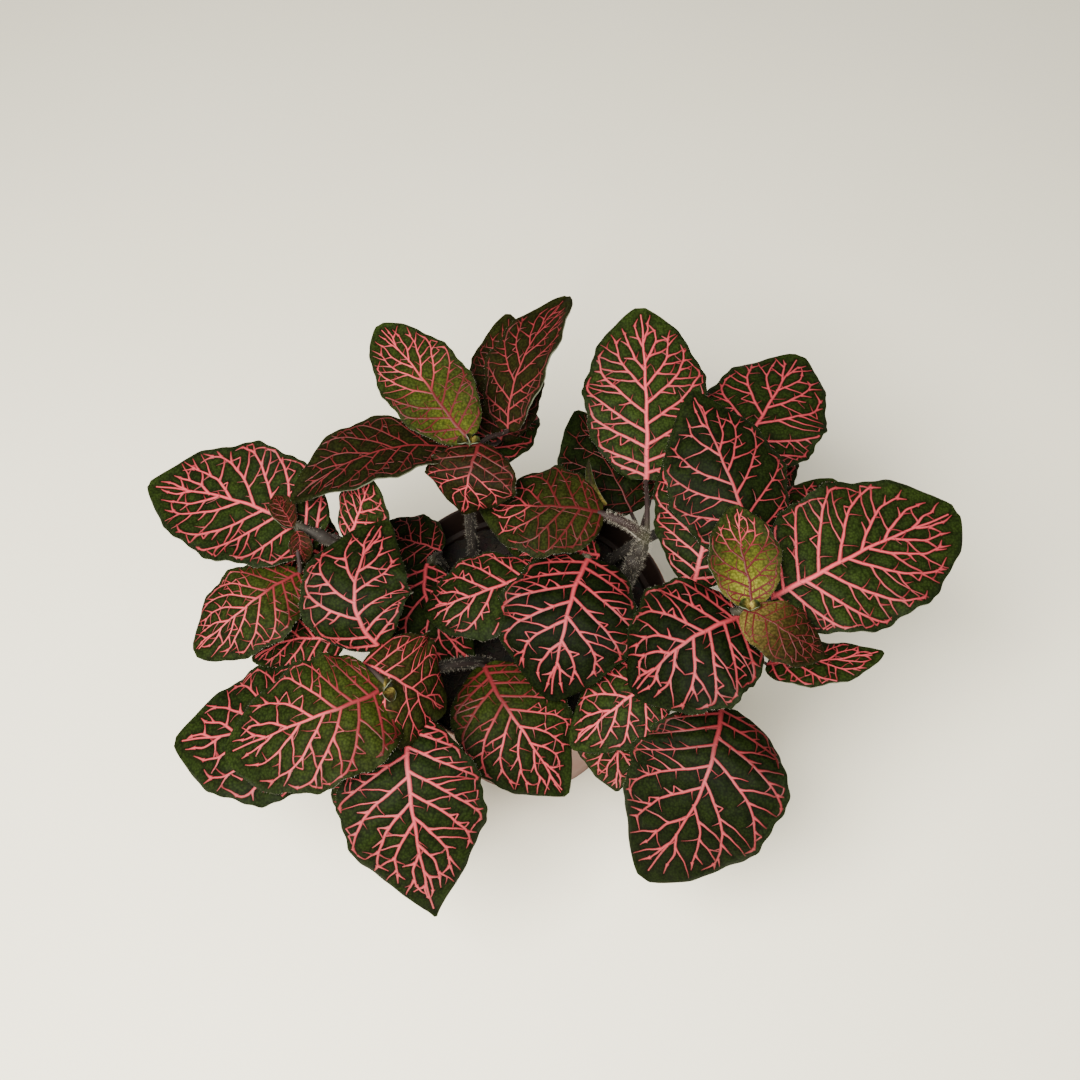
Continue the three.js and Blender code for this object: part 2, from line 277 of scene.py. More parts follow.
# The leaf edge is a cut-thin downy rim, drawn pale as a painted highlight of the light it catches, so it
# reads as a pale line.
leafEdge = makeMottled("downy_leaf_edge_highlight", 0.7, 0.0008, ("2c3424", "646a56"))

# Studio floor: plain, pale and matt, with a slow waver.
paleFloor = makeMottled("pale_floor", 0.55, 1 / 6, ("eee9d3", "f4f0dd"))

potPlastic = makePotPlastic()
peat = makePeat()
leafBlade = makeLeafBlade()
pinkVein = makeVeins()
stemSkin = makeStemSkin()
print("materials made")


# The viewpoint, which also places the leaves. Its focal length and centre are in points of the picture.

view = {"pitch": math.radians(57), "place": (5, -212, 455), "focal": 1200, "centre": 540, "sensor": 36}


def makeCamera():
    place = [c * millimetre for c in view["place"]]
    bpy.ops.object.camera_add(location=place, rotation=(math.pi / 2 - view["pitch"], 0, 0))
    camera = bpy.context.active_object
    camera.name = "camera"
    camera.data.sensor_width = view["sensor"]
    camera.data.lens = view["sensor"] * view["focal"] / (2 * view["centre"])
    bpy.context.scene.camera = camera


# The point at a place in the picture and a height above the floor.
def placedPoint(spot):
    across, down, height = spot
    rise = (view["centre"] - down) / view["focal"]
    ray = np.array([
        (across - view["centre"]) / view["focal"],
        math.cos(view["pitch"]) + math.sin(view["pitch"]) * rise,
        -math.sin(view["pitch"]) + math.cos(view["pitch"]) * rise,
    ])
    place = np.array(view["place"], float)
    return place + ray * (height - place[2]) / ray[2]


# Floor and light, in metres and watts

lighting = {
    "floorSize": 8.0, "target": (0, 0, 0.08), "warmth": (1.0, 0.96, 0.88),
    "sky": "ffffff", "skyStrength": 0.34,
    "lamps": [("key", (-0.24, -0.36, 0.75), 0.5, 28.0), ("fill", (0.55, -0.9, 1.1), 1.2, 6.0)],
}


def makeLight(name, place, size, power):
    bpy.ops.object.light_add(type="AREA", location=place)
    lamp = bpy.context.active_object
    lamp.name = name
    lamp.data.size = size
    lamp.data.energy = power
    lamp.data.color = lighting["warmth"]
    towards = Vector(lighting["target"]) - Vector(place)
    lamp.rotation_euler = towards.to_track_quat("-Z", "Y").to_euler()


def makeStage():
    deselectAll()
    bpy.ops.mesh.primitive_plane_add(size=lighting["floorSize"])
    floor = bpy.context.active_object
    floor.name = "floor"
    floor.data.materials.append(paleFloor)
    for lamp in lighting["lamps"]:
        makeLight(*lamp)
    world = bpy.data.worlds.new("studio")
    world.use_nodes = True
    sky = world.node_tree.nodes["Background"]
    sky.inputs["Color"].default_value = hexColour(lighting["sky"])
    sky.inputs["Strength"].default_value = lighting["skyStrength"]
    bpy.context.scene.world = world


makeCamera()
makeStage()
print("camera, floor and light set")


# Pot

pot = {
    "height": 80, "rimRadius": 52.5, "baseRadius": 36, "wall": 1.4, "floor": 1.8,
    "rimBand": 11, "rimStep": 1.3, "sides": 120,
    "holes": 8, "holeRadius": 4, "holeRing": 25, "holeSides": 32, "cutDepth": 10,
    "baseEdge": [(34.2, 0), (35.0, 0.15), (35.7, 0.55), (36, 1.2)],
    "lip": [(52.4, 78.8), (52.5, 79.3), (52.3, 79.75), (51.8, 80), (51.35, 79.8), (51.1, 79.4)],
    "darkStart": 0.15, "darkRise": 1.2, "darkMost": 0.97, "baseDark": 0.2, "cleanBase": 5,
}


def innerRadius(height):
    slope = (pot["rimRadius"] - pot["rimStep"] - pot["baseRadius"]) / pot["height"]
    step = pot["rimStep"] if height > pot["height"] - pot["rimBand"] else 0
    return pot["baseRadius"] + slope * height + step - pot["wall"]


def outerRadius(height):
    return innerRadius(height) + pot["wall"]


# Turns a profile of radii and heights round the upright axis.
def turned(name, profile, sides):
    mesh = bpy.data.meshes.new(name)
    points = [(radius * millimetre, 0, height * millimetre) for radius, height in profile]
    mesh.from_pydata(points, [(i, i + 1) for i in range(len(points) - 1)], [])
    piece = linkPiece(name, mesh)
    turn = piece.modifiers.new("turn", "SCREW")
    turn.steps = sides
    turn.render_steps = sides
    turn.use_merge_vertices = True
    turn.merge_threshold = 1e-5
    applyModifiers(piece)
    bpy.ops.object.mode_set(mode="EDIT")
    bpy.ops.mesh.select_all(action="SELECT")
    bpy.ops.mesh.remove_doubles(threshold=2e-5)
    bpy.ops.mesh.normals_make_consistent(inside=False)
    bpy.ops.object.mode_set(mode="OBJECT")
    return piece


def cutHoles(body):
    cutters = []
    for i in range(pot["holes"]):
        angle = 2 * math.pi * (i + 0.5) / pot["holes"]
        ring = pot["holeRing"] * millimetre
        place = (ring * math.cos(angle), ring * math.sin(angle), 0)
        deselectAll()
        bpy.ops.mesh.primitive_cylinder_add(vertices=pot["holeSides"], radius=pot["holeRadius"] * millimetre,
                                            depth=pot["cutDepth"] * millimetre, location=place)
        cutters.append(bpy.context.active_object)
    cutter = joinPieces(cutters, "hole_cutter")
    selectOnly(cutter)
    bpy.ops.object.transform_apply(location=True, rotation=True, scale=True)
    cut = body.modifiers.new("holes", "BOOLEAN")
    cut.object = cutter
    cut.operation = "DIFFERENCE"
    cut.solver = "EXACT"
    applyModifiers(body)
    bpy.data.objects.remove(cutter)


def makePot():
    step = pot["height"] - pot["rimBand"]
    floor = pot["floor"]
    outside = [(outerRadius(30), 30), (outerRadius(60), 60), (outerRadius(step) - 0.1, step - 1.2),
               (outerRadius(step) + 0.1, step - 0.7), (outerRadius(step + 1) - 0.5, step + 0.1),
               (outerRadius(step + 1), step + 0.6)]
    inside = [(innerRadius(height), height) for height in (step + 1, step, 30, 3)]
    profile = [(0, 0)] + pot["baseEdge"] + outside + pot["lip"] + inside
    profile += [(innerRadius(floor) - 0.8, floor), (0, floor)]
    body = turned("nursery_pot", profile, pot["sides"])
    cutHoles(body)
    smooth(body, 35)
    # Painted shade with a film of soil: near black inside and on the rim top, faintly darker outside, a
    # little more in the band at the base.
    soilAndShade = []
    for radius, height in [(v.co.xy.length / millimetre, v.co.z / millimetre) for v in body.data.vertices]:
        filmAndShade = (outerRadius(height) - radius) * pot["darkRise"] + pot["darkStart"]
        soilAndShade.append(min(max(filmAndShade, 0), pot["darkMost"]) if height > pot["cleanBase"] else pot["baseDark"])
    setValues(body, "soilAndShade", soilAndShade)
    finishPiece(body, potPlastic, ["pot"])


makePot()
print("pot made")


# The plant's own list: the foot and tip of every stem, and the leaves that it bears.
# Each leaf has a name, how far up the stem it grows, the places of its base, middle and tip,
# its width, its roll about the midrib in degrees, how far its sides bend up or down in radians,
# and how pointed its end is. Its places are a picture's x and y and a height in millimetres.
# A bud has no place on the stem, no stalk and no veins.

shoots = [
    {"name": "stem_back_left", "foot": (-20, 29), "tip": (462, 441, 130), "leaves": [
        ("a1", 0.98, (469, 440, 130), (424, 382, 137), (379, 325, 139), 30, 8, 0.15, 0.6),
        ("a2", 0.8, (508, 432, 118), (524, 358, 134), (569, 297, 138), 31, 30, 0.3, 0.65),
        ("a3", 0.7, (500, 442, 108), (505, 380, 120), (508, 314, 122), 28, 0, -0.2, 0.7),
        ("a4", 0.84, (454, 449, 122), (370, 454, 128), (291, 503, 122), 33, -12, 0.25, 0.8),
        ("a5", 0.96, (480, 442, 130), (468, 480, 127), (464, 514, 112), 33, 0, -0.3, 1.0),
        ("a6", 0.5, (486, 462, 100), (500, 420, 98), (506, 375, 90), 30, 0, -0.25, 0.8),
        ("bud1", None, (468, 445, 129), (463, 441, 133), (457, 443, 133), 4.4, 0, 0.8, 0.7),
        ("bud2", None, (468, 445, 129), (469, 439, 133), (466, 434, 135), 3.8, 0, 0.8, 0.7),
        ("bud3", None, (469, 445, 129), (475, 441, 132), (480, 442, 132), 4.0, 0, 0.8, 0.7),
    ]},
    {"name": "stem_back_middle", "foot": (34, 8), "tip": (648, 536, 110), "stout": 1.35, "leaves": [
        ("c1", 0.97, (646, 482, 109), (646, 392, 122), (640, 308, 129), 45, 0, -0.2, 0.62),
        ("b1", 0.97, (604, 514, 115), (545, 506, 117), (480, 508, 106), 38, 0, -0.25, 0.8),
        ("c2", 0.8, (632, 514, 98), (608, 465, 104), (576, 411, 100), 36, 0, -0.2, 0.8),
        ("c7", 0.55, (650, 500, 88), (652, 460, 88), (646, 415, 80), 32, 0, -0.25, 0.8),
        ("sliver", None, (607, 505, 112), (592, 486, 116), (589, 458, 121), 3.4, 25, 0.6, 0.8),
    ]},
    {"name": "stem_back_right", "foot": (30, 24), "tip": (748, 500, 112), "leaves": [
        ("c3", 0.95, (738, 472, 107), (765, 410, 113), (801, 357, 105), 46, 0, -0.2, 0.6),
        ("d6", 0.9, (776, 560, 97), (803, 517, 102), (835, 480, 96), 28, 0, -0.2, 0.7),
        ("c8", 0.6, (730, 510, 92), (754, 464, 92), (776, 420, 84), 34, 0, -0.25, 0.8),
    ]},
    {"name": "stem_right", "foot": (38, -12), "tip": (744, 611, 131), "leaves": [
        ("d2", 0.99, (751, 607, 132), (744, 556, 139), (735, 505, 143), 23, 0, 0.2, 0.7),
        ("d3", 0.99, (743, 610, 132), (787, 631, 134), (824, 656, 126), 21, 0, -0.3, 0.7),
        ("d1", 0.86, (768, 599, 121), (860, 553, 128), (956, 511, 121), 51, -8, 0.12, 0.6),
        ("d5", 0.93, (747, 614, 126), (689, 641, 129), (632, 693, 112), 47, 0, -0.3, 0.6),
        ("c4", 0.72, (760, 561, 122), (729, 474, 138), (691, 391, 143), 43, 5, -0.6, 0.8),
        ("c5", 0.62, (692, 586, 108), (705, 500, 125), (688, 398, 131), 36, 14, -0.3, 0.8),
        ("d4", 0.6, (766, 664, 104), (822, 661, 110), (884, 652, 110), 20, 20, -0.2, 0.8),
        ("d8", 0.45, (780, 600, 92), (826, 576, 91), (872, 560, 82), 32, 0, -0.25, 0.7),
        ("bud4", None, (750, 609, 132), (745, 605, 135), (739, 604, 135), 4.4, 0, 0.8, 0.7),
        ("bud5", None, (750, 609, 132), (755, 605, 135), (760, 604, 135), 3.6, 0, 0.8, 0.7),
    ]},
    {"name": "stem_front_right", "foot": (14, -28), "tip": (690, 672, 104), "leaves": [
        ("d7", 0.95, (722, 706, 100), (701, 789, 97), (643, 878, 60), 52, 0, -0.3, 0.6),
        ("e5", 0.9, (668, 680, 99), (622, 702, 99), (571, 748, 86), 31, 0, -0.3, 0.7),
        ("e6", 0.6, (610, 690, 88), (616, 742, 85), (617, 791, 63), 26, 0, -0.3, 0.8),
    ]},
    {"name": "stem_middle", "foot": (2, 2), "tip": (590, 555, 111), "leaves": [
        ("e1", 0.98, (590, 557, 110), (565, 622, 113), (552, 701, 93), 47, 0, -0.3, 0.7),
        ("e2", 0.8, (545, 572, 106), (482, 592, 109), (424, 613, 102), 33, 0, -0.3, 0.7),
        ("e8", 0.6, (600, 556, 102), (560, 548, 104), (506, 545, 98), 24, 0, -0.2, 0.8),
    ]},
    {"name": "stem_middle_left", "foot": (-31, 21), "tip": (430, 562, 98), "leaves": [
        ("e3", 0.9, (428, 563, 98), (432, 615, 97), (475, 661, 84), 28, 0, -0.2, 0.8),
        ("e4", 0.95, (442, 552, 91), (408, 540, 90), (372, 528, 85), 26, 0, -0.2, 0.8),
    ]},
    {"name": "stem_front_left", "foot": (-12, -18), "tip": (386, 688, 122), "leaves": [
        ("f4", 0.98, (384, 689, 120), (315, 718, 123), (225, 753, 108), 44, 0, -0.25, 0.55),
        ("f5", 0.97, (361, 663, 117), (408, 686, 120), (445, 710, 101), 42, 0, -0.3, 0.8),
        ("f1", 0.84, (381, 648, 114), (354, 589, 128), (388, 521, 127), 36, 0, -0.25, 0.7),
        ("f6", 0.8, (407, 714, 108), (413, 816, 101), (436, 916, 64), 46, 0, -0.25, 1.1),
        ("f2", 0.66, (352, 710, 98), (264, 729, 104), (175, 742, 94), 48, 0, -0.25, 0.7),
        ("e7", 0.5, (484, 664, 91), (518, 726, 93), (567, 795, 73), 41, 0, -0.3, 0.8),
        ("f7", 0.5, (388, 735, 84), (362, 790, 78), (360, 842, 58), 24, 0, -0.3, 0.8),
        ("bud6", None, (386, 689, 122), (390, 695, 125), (391, 702, 125), 4.4, 0, 0.8, 0.7),
        ("bud7", None, (385, 689, 122), (387, 684, 126), (391, 680, 128), 3.8, 0, 0.8, 0.7),
    ]},
    {"name": "stem_left", "foot": (-32, 4), "tip": (290, 522, 118), "leaves": [
        ("g1", 0.78, (324, 536, 111), (241, 503, 117), (149, 485, 107), 46, 8, 0.2, 0.75),
        ("g2", 0.94, (301, 573, 109), (248, 605, 112), (195, 654, 101), 33, 0, -0.25, 0.6),
        ("g3", 0.99, (292, 528, 118), (282, 508, 119), (274, 496, 118), 9, 0, 0.3, 0.9),
        ("g5", 0.99, (297, 531, 117), (301, 548, 115), (304, 563, 108), 8, 0, 0.3, 0.9),
        ("g4", 0.74, (348, 542, 107), (361, 508, 118), (371, 478, 131), 22, -5, -0.35, 0.8),
        ("h1", 0.5, (345, 642, 92), (296, 640, 95), (252, 660, 88), 26, 0, -0.2, 0.8),
        ("g6", 0.45, (336, 560, 92), (290, 540, 92), (240, 520, 82), 32, 0, -0.25, 0.8),
    ]},
]

# How a leaf's looks differ from a full-grown one. Its blade: young is how yellow its base is, rimmed how
# green its edge stays then, pale how bleached its base is, brown how tanned it is, shadeAndTone how dark it
# is drawn, as painted shade where it lies in shade and partly its own darker green, fold how sharply it is
# folded along its midrib and blunt how narrow its base is. Its veins: vein is how wide they are, pairs how
# many pairs it has if that is set, red how far its base veins are dark red, which is painted shade at a
# shaded base and
# its own red in a young leaf, and dim how dark all are drawn, as painted shade on leaves in shade. Its stalk:
# stalk is how stout it is, and down how thickly haired.
plainLook = {
    "young": 0.0, "rimmed": 0.0, "pale": 0.0, "brown": 0.0, "shadeAndTone": 1.0, "fold": 0.0, "blunt": 0.5,
    "vein": 1.0, "pairs": 0, "red": 0.2, "dim": 0.0, "stalk": 1.0, "down": 1.0,
}
leafLooks = {
    "a1": {"pairs": 8, "young": 0.26, "red": 0.6, "vein": 0.8, "shadeAndTone": 0.85, "rimmed": 0.5},
    "a2": {"brown": 0.35, "vein": 0.7, "dim": 0.72, "shadeAndTone": 0.5},
    "a3": {"brown": 0.4, "vein": 0.6, "dim": 0.75, "shadeAndTone": 0.6},
    "a4": {"brown": 0.25, "shadeAndTone": 0.42, "vein": 0.65, "dim": 0.9, "red": 0.3},
    "a5": {"brown": 0.4, "vein": 0.7, "red": 0.6, "shadeAndTone": 0.45, "dim": 0.4, "blunt": 0.38, "fold": 0.6},
    "b1": {"stalk": 1.9, "down": 16, "young": 0.05, "brown": 0.2, "red": 0.75, "vein": 0.75, "shadeAndTone": 0.66,
           "dim": 0.22, "pairs": 7},
    "d2": {"young": 0.9, "red": 0.75, "vein": 0.72, "rimmed": 0.9, "pale": 0.2, "pairs": 7, "brown": 0.15},
    "d3": {"pale": 0.35, "brown": 0.6, "young": 0.1, "red": 0.9, "vein": 0.55, "dim": 0.9, "pairs": 7,
           "shadeAndTone": 0.62},
    "f4": {"pairs": 7, "young": 0.09, "shadeAndTone": 0.66, "red": 0.5, "vein": 0.88, "blunt": 0.2},
    "f5": {"brown": 0.45, "vein": 0.7, "red": 0.3, "dim": 0.35, "blunt": 0.36},
    "g2": {"pairs": 8, "young": 0.1, "shadeAndTone": 0.7, "red": 0.5, "vein": 0.78},
    "e7": {"pairs": 8, "young": 0.05, "red": 0.55, "vein": 0.88, "shadeAndTone": 0.62},
    "g3": {"brown": 0.8, "vein": 0.45, "red": 0.5, "dim": 0.85},
    "g5": {"brown": 0.8, "vein": 0.45, "red": 0.5, "dim": 0.85},
    "c2": {"shadeAndTone": 0.3, "dim": 1.0, "vein": 0.4},
    "c4": {"vein": 0.8, "fold": 0.9, "shadeAndTone": 0.36, "dim": 0.52, "red": 0.3},
    "e1": {"pairs": 7, "blunt": 0.27, "shadeAndTone": 0.24, "red": 0.35, "dim": 0.47},
    "d5": {"pairs": 7, "blunt": 0.32, "fold": 0.2, "shadeAndTone": 0.27, "red": 0.4, "dim": 0.5},
    "f1": {"pairs": 6, "fold": 0.3, "shadeAndTone": 0.46, "dim": 0.4},
    "g1": {"shadeAndTone": 0.72},
    "d7": {"pairs": 7, "shadeAndTone": 0.34, "red": 0.5, "dim": 0.5, "vein": 0.86},
    "c3": {"shadeAndTone": 0.8, "dim": 0.3},
    "e2": {"shadeAndTone": 0.62, "red": 0.3, "dim": 0.3},
    "f2": {"shadeAndTone": 0.6},
    "d1": {"shadeAndTone": 0.85},
    "f6": {"pairs": 8, "shadeAndTone": 0.55, "dim": 0.32},
    "c5": {"shadeAndTone": 0.6},
    "e3": {"shadeAndTone": 0.7},
    "e5": {"shadeAndTone": 0.85},
    **{"bud" + str(i): {"pale": 3} for i in range(1, 6)},
    "bud6": {"pale": 1, "brown": 0.6},
    "bud7": {"pale": 1, "brown": 0.4},
    "sliver": {"pale": 0.5, "brown": 0.3, "shadeAndTone": 0.8},
    "e4": {"vein": 0.6, "dim": 0.7, "shadeAndTone": 0.4},
}

# A blade's grid, its outline, the waves of its margin and the quilting between its veins.
blade = {
    "thickness": 0.55, "slimWidth": 9, "cell": 1.05, "start": 0.012, "end": 0.992,
    "rows": (10, 72), "columns": (8, 50), "skew": 0.93, "foldRound": 0.01,
    "waveHeight": 0.028, "waveCount": 3.4, "sideShift": 1.9, "edgeWave": 0.03,
    "edgeRipple": 0.012, "ripplesPerWave": 3.3,
    "pucker": 0.52, "puckerReach": 2.3, "fineShare": 0.4, "fineReach": 1.0, "fullWidth": 36,
    "edgeStart": 0.86, "edgeDrop": 0.35,
}

# Widths and distances in millimetres, turns in degrees, and shares of a length from 0 to 1.
veins = {
    "midrib": 2.05, "side": 1.22, "branch": 0.7, "spur": 0.44, "step": 1.0, "margin": 1.4,
    "rise": 0.15, "crest": 0.13, "edge": 0.54, "fullWidth": 45, "flare": 1.1, "flareReach": 0.7,
    "pairSpacing": 8.8, "fewest": 6, "most": 8, "firstArc": 0.03, "arcSpread": 0.77, "arcPower": 1.28,
    "reach": 0.04, "sweep": 0.88, "bow": 1.5, "late": 0.58, "arcEnd": (0.925, 0.025),
    "ribEnds": (0.012, 0.955), "ribTaper": 0.72, "smallMargin": 40, "underRise": 0.05, "spurBright": 0.55,
    "stride": 0.7, "clearRoot": 1.3, "leastRun": 1.4, "sway": 0.1, "swayRate": 1.3, "open": (0.02, 0.975),
    "branchTurn": 2.6, "branchStart": (0.5, 3.0), "branchGap": (3.6, 5.2), "branchSwing": 60,
    "linkShare": 0.55, "linkReach": 15, "shortReach": (2.5, 5.0), "forks": (-32, 30), "lateForks": (-20, 20),
    "forkReach": (2.0, 4.5), "loopEnd": 0.68, "loopReach": 4.5,
    "spurGap": (7.0, 12.0), "spurReach": (1.8, 5.2), "linkSpurReach": (1.8, 4.5), "linkSpurs": (-62, 55),
}


def makeLeaf(row, phase):
    name, along, base, middle, tip, width, roll, cup, point = row
    b, m, t = placedPoint(base), placedPoint(middle), placedPoint(tip)
    chord = unit(t - b)
    level = unit(np.array([chord[1], -chord[0], 0.0]))
    return {
        "name": name, "along": along, "b": b, "m": m, "t": t, "width": width, "roll": roll,
        "cup": cup, "point": point, "phase": phase, "level": level, "upward": np.cross(level, chord),
        "length": np.linalg.norm(m - b) + np.linalg.norm(t - m),
        "look": {**plainLook, **leafLooks.get(name, {})},
    }


def outline(leaf, s):
    s = np.clip(s, 1e-4, 1 - 1e-4)
    blunt = leaf["look"]["blunt"]
    return np.sin(math.pi * s ** blade["skew"]) ** (blunt + (leaf["point"] - blunt) * s)


def halfWidth(leaf, s):
    return leaf["width"] / 2 * outline(leaf, s)


def midribPoint(leaf, s):
    s = np.asarray(s, float)[..., None]
    return leaf["b"] * (1 - s) * (1 - 2 * s) + leaf["m"] * 4 * s * (1 - s) + leaf["t"] * s * (2 * s - 1)


# The surface of a leaf: s runs from its base to its end, u across it from -1 to 1.
def leafSurface(leaf, s, u):
    along = s[..., None]
    direction = unit(leaf["b"] * (4 * along - 3) + leaf["m"] * (4 - 8 * along) + leaf["t"] * (4 * along - 1))
    turn = math.radians(leaf["roll"])
    side = leaf["level"] * math.cos(turn) + leaf["upward"] * math.sin(turn)
    side = unit(side - direction * np.sum(direction * side, -1, keepdims=True))
    normal = np.cross(side, direction)
    phase = 2 * math.pi * blade["waveCount"] * s + leaf["phase"] + np.where(u > 0, 0, blade["sideShift"])
    ripples = np.sin(blade["ripplesPerWave"] * phase)
    ripple = blade["edgeWave"] * np.sin(phase) * u * u + blade["edgeRipple"] * ripples * u ** 4
    half = halfWidth(leaf, s) * (1 + ripple)
    bend = leaf["cup"] * u
    out = np.sin(bend) / leaf["cup"]
    lift = (1 - np.cos(bend)) / leaf["cup"]
    edgeLift = (1 - math.cos(leaf["cup"])) / leaf["cup"]
    fold = leaf["look"]["fold"]
    lift = lift * (1 - fold) + edgeLift * np.sqrt(u * u + blade["foldRound"]) * fold
    wave = blade["waveHeight"] * np.abs(u) ** 3 * np.cos(phase) * outline(leaf, s)
    rise = half * lift + leaf["width"] * wave
    return midribPoint(leaf, s) + side * (half * out)[..., None] + normal * rise[..., None], normal


# Points at even distances along a path: as many as count, or a step apart.
def evenPoints(points, count=None, step=1.0):
    run = np.concatenate([[0], np.cumsum(np.linalg.norm(np.diff(points, axis=0), axis=1))])
    at = np.linspace(0, run[-1], count or max(2, int(round(run[-1] / step)) + 1))
    return np.stack([np.interp(at, run, column) for column in points.T], 1)


# Smooths the corners of a short flat path, then cuts it into even steps.
def evenPath(points):
    points = np.asarray(points, float)
    for _ in range(2):
        if len(points) > 2:
            before, after = points[:-1], points[1:]
            cut = np.stack([before * 0.75 + after * 0.25, before * 0.25 + after * 0.75], 1).reshape(-1, 2)
            points = np.vstack([points[:1], cut[1:-1], points[-1:]])
    return evenPoints(points, step=veins["step"])


def alongPath(path, share):
    place = share * (len(path) - 1)
    low = min(int(place), len(path) - 2)
    return path[low] + (path[low + 1] - path[low]) * (place - low)


# One small vein in flat millimetres: it wanders, bends towards the end and stops at a wall of other veins,
# near the margin or at its own reach. It says whether it met the wall.
def growBranch(leaf, rnd, root, heading, reach, wall):
    step = veins["step"] * veins["stride"]
    points, gone = [root], 0
    away = wall[np.linalg.norm(wall - root, axis=1) > veins["clearRoot"]]
    first, last = veins["open"]
    sway = rnd.uniform(0, 6)
    while gone < reach:
        wander = veins["sway"] * math.sin(gone * veins["swayRate"] + sway)
        heading += -math.radians(veins["branchTurn"]) * step + wander
        spot = points[-1] + step * np.array([math.cos(heading), math.sin(heading)])
        gone += step
        s = spot[0] / leaf["length"]
        if not first < s < last or spot[1] < 0 or spot[1] > halfWidth(leaf, s) - marginOf(leaf) * 0.85:
            return points, False
        gaps = np.linalg.norm(away - spot, axis=1)
        if gone > veins["leastRun"] and len(gaps) and gaps.min() < step:
            points.append(away[gaps.argmin()])
            return points, True
        points.append(spot)
    return points, False


def marginOf(leaf):
    return veins["margin"] * min(1, leaf["width"] / veins["smallMargin"])


def headingAt(path, share):
    ahead = alongPath(path, min(share + 0.08, 1)) - alongPath(path, max(share - 0.08, 0))
    return math.atan2(ahead[1], ahead[0])


# One side vein: it leaves the midrib steeply, then sweeps towards the end of the leaf.
def growArc(leaf, rnd, start):
    last, later = veins["arcEnd"]
    end = min(start + veins["reach"] + veins["sweep"] * start, last + later * start)
    end += rnd.uniform(-0.012, 0.012)
    share = np.linspace(0, 1, 24)
    s = start + (end - start) * share
    room = np.maximum(halfWidth(leaf, s) - marginOf(leaf) * rnd.uniform(1.0, 1.35), 0.8)
    far = 1 - 2.3 * max(start - 0.45, 0)
    bow = veins["bow"] + rnd.uniform(-0.12, 0.12)
    y = room * far * (1 - (1 - share) ** bow)
    sway = rnd.uniform(0, 6)
    x = s * leaf["length"]
    wander = 0.28 * np.sin(x / 1.9 + sway) + 0.12 * np.sin(x / 0.8 + 2 * sway)
    widest = int(np.argmax(y > 0.985 * y.max())) + 2
    y = np.maximum(y + wander * np.minimum(share * 4, 1), 0)
    return evenPath(np.stack([x, y], 1)[: widest + 1])


# The net of veins of a leaf in flat millimetres: x along the midrib, y across it.
def growVeins(leaf, rnd):
    length = leaf["length"]
    size = (leaf["width"] / veins["fullWidth"]) ** 0.45 * leaf["look"]["vein"]
    share = np.linspace(*veins["ribEnds"], 40)
    sway = rnd.uniform(-0.5, 0.5)
    rib = np.stack([share * length, sway * np.sin(share * 8) + 0.15 * np.sin(share * 31)], 1)
    widths = veins["midrib"] * (1 - veins["ribTaper"] * share ** 0.9) * size
    net = [{"path": rib, "widths": widths, "rank": 0}]
    middle = np.stack([share * length, share * 0], 1)
    spaced = np.clip(round(length / veins["pairSpacing"]), veins["fewest"], veins["most"])
    for side in (-1, 1):
        growSide(leaf, rnd, net, side, leaf["look"]["pairs"] or int(spaced), middle, size)
    return net


